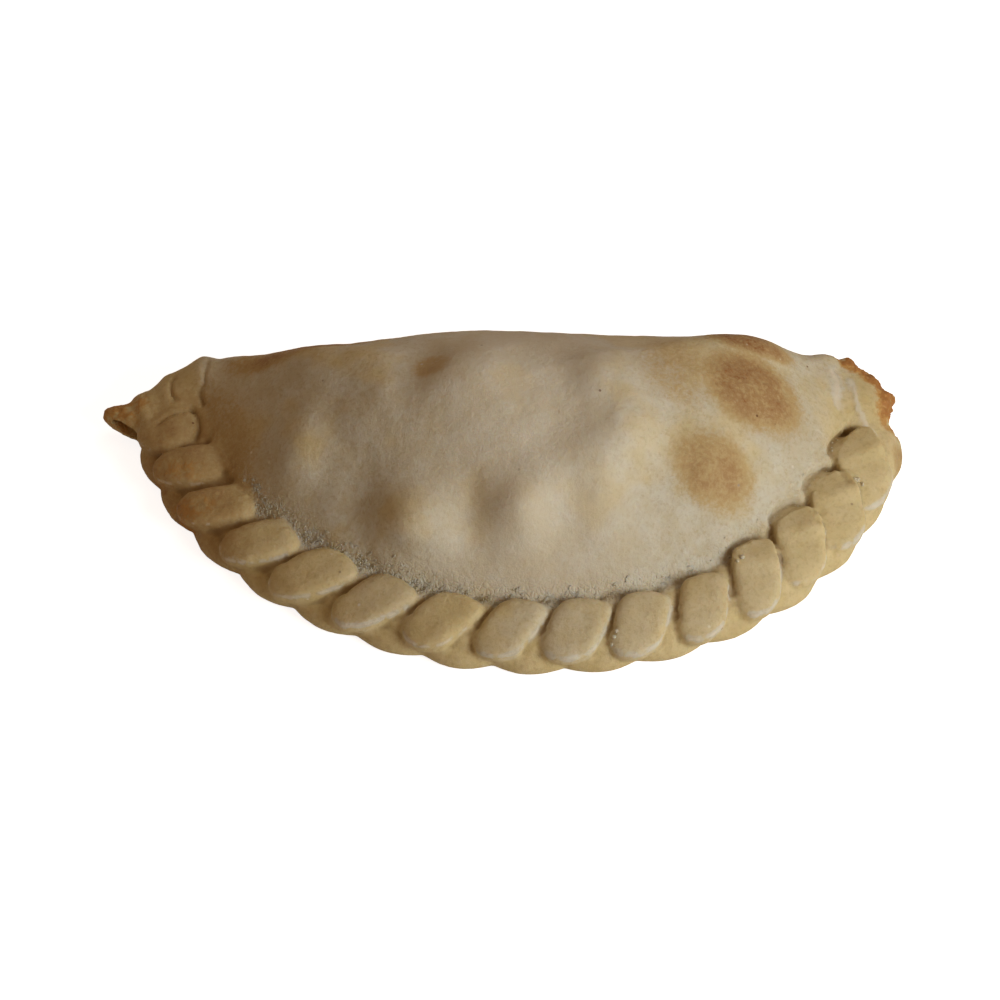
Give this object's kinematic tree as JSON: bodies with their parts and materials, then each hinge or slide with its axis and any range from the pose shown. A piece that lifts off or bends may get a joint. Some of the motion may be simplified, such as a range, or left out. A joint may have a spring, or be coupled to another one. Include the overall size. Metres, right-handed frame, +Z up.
{
  "type": "empanada",
  "caption": "Baked half-moon dough pocket with a rope-crimped round edge, a lumpy filled top and a flat underside to rest on.",
  "frame": {"origin": "middle of the footprint's box, on the flat underside", "axes": "+X along the folded side towards the closing end of the crimp, +Y towards the folded side, +Z up from the tray"},
  "size_m": [0.134, 0.063, 0.0295],
  "materials": {
    "baked_dough": "matte baked wheat dough"
  },
  "bodies": {
    "root": {"empanada": "baked_dough"}
  },
  "joints": []
}
